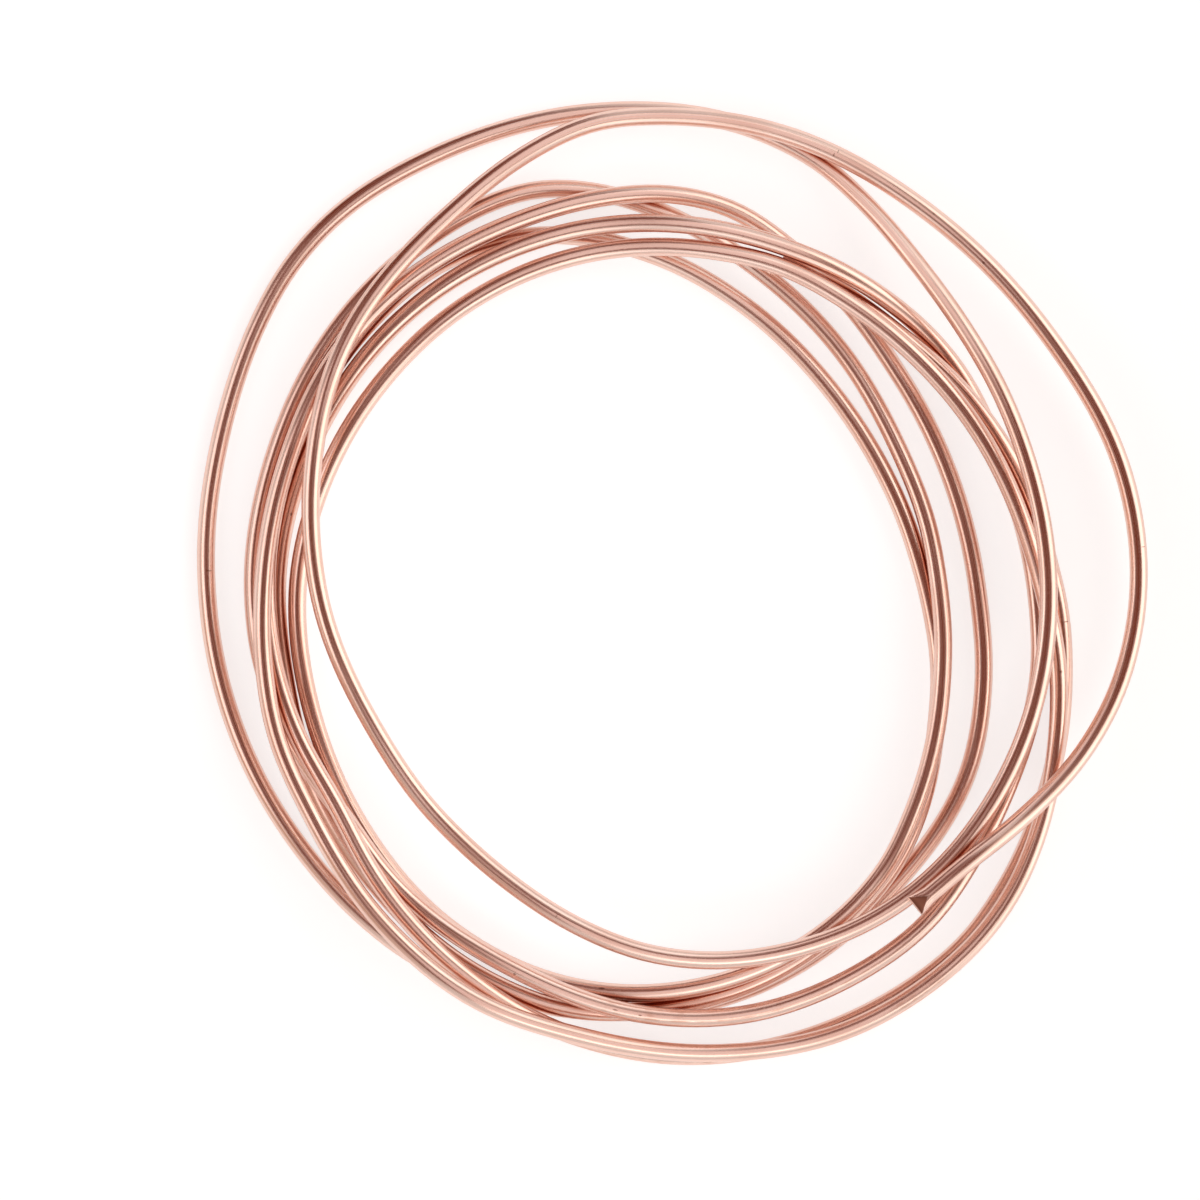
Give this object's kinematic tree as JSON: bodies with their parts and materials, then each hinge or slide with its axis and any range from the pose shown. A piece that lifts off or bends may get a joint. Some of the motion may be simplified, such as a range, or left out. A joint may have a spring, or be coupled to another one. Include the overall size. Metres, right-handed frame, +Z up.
{
  "type": "copper tube coil",
  "caption": "Loose hand-wound coil of thin soft copper tube, its turns crossing over each other, with one pinched end and one square-cut open end.",
  "frame": {"origin": "on the floor, under the middle of the coil's box", "axes": "+Z up through the coil's eye, +X towards the side where the outermost turn bows out, the coil lying flat"},
  "size_m": [0.156, 0.1584, 0.0157],
  "materials": {
    "copper": "bright drawn copper, rose coloured, with light handling marks"
  },
  "bodies": {
    "root": {"copper_tube": "copper"}
  },
  "joints": []
}
